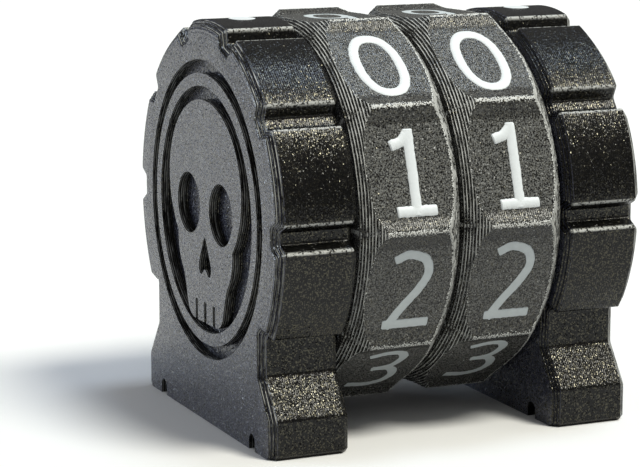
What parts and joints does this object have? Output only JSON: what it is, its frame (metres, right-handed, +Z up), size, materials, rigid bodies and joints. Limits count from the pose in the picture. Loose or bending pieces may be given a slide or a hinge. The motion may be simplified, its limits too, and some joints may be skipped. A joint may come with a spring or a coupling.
{
  "type": "life counter",
  "caption": "Desk-top number counter: two ten-sided numbered dials turn side by side on an axle between two footed stands.",
  "frame": {"origin": "on the table under the middle of the counter, halfway between the two dials", "axes": "+Z up; +X along the axle, from the tens dial to the units dial; -Y towards the front, where the numerals are read"},
  "size_m": [0.035, 0.0362, 0.0366],
  "materials": {
    "printed_plastic": "dark grey glittery printed filament with fine layer lines",
    "white_fill": "white fill, slightly uneven",
    "steel": "bright"
  },
  "bodies": {
    "frame": {"left_stand": "printed_plastic", "right_stand": "printed_plastic", "axle": "printed_plastic", "dial_washer": "printed_plastic", "left_index_dot": "white_fill", "right_index_dot": "white_fill", "left_detent_spring": "steel", "right_detent_spring": "steel"},
    "tens": {"tens_dial": "printed_plastic", "tens_numeral_0": "white_fill", "tens_numeral_1": "white_fill", "tens_numeral_2": "white_fill", "tens_numeral_3": "white_fill", "tens_numeral_4": "white_fill", "tens_numeral_5": "white_fill", "tens_numeral_6": "white_fill", "tens_numeral_7": "white_fill", "tens_numeral_8": "white_fill", "tens_numeral_9": "white_fill"},
    "units": {"units_dial": "printed_plastic", "units_numeral_0": "white_fill", "units_numeral_1": "white_fill", "units_numeral_2": "white_fill", "units_numeral_3": "white_fill", "units_numeral_4": "white_fill", "units_numeral_5": "white_fill", "units_numeral_6": "white_fill", "units_numeral_7": "white_fill", "units_numeral_8": "white_fill", "units_numeral_9": "white_fill"},
    "left_detent": {"left_detent_ball": "steel"},
    "right_detent": {"right_detent_ball": "steel"}
  },
  "joints": [
    {"name": "tens_dial_spin", "type": "hinge", "parent": "frame", "child": "tens", "pos_m": [0, 0, 0.0194], "axis": [1, 0, 0], "continuous": true},
    {"name": "units_dial_spin", "type": "hinge", "parent": "frame", "child": "units", "pos_m": [0, 0, 0.0194], "axis": [1, 0, 0], "continuous": true},
    {"name": "left_detent_slide", "type": "slide", "parent": "frame", "child": "left_detent", "axis": [-1, 0, 0], "range_m": [0, 0.0006], "stiffness_N_per_m": 500, "springref_m": -0.001, "deforming": ["left_detent_spring"]},
    {"name": "right_detent_slide", "type": "slide", "parent": "frame", "child": "right_detent", "axis": [1, 0, 0], "range_m": [0, 0.0006], "stiffness_N_per_m": 500, "springref_m": -0.001, "deforming": ["right_detent_spring"]}
  ]
}
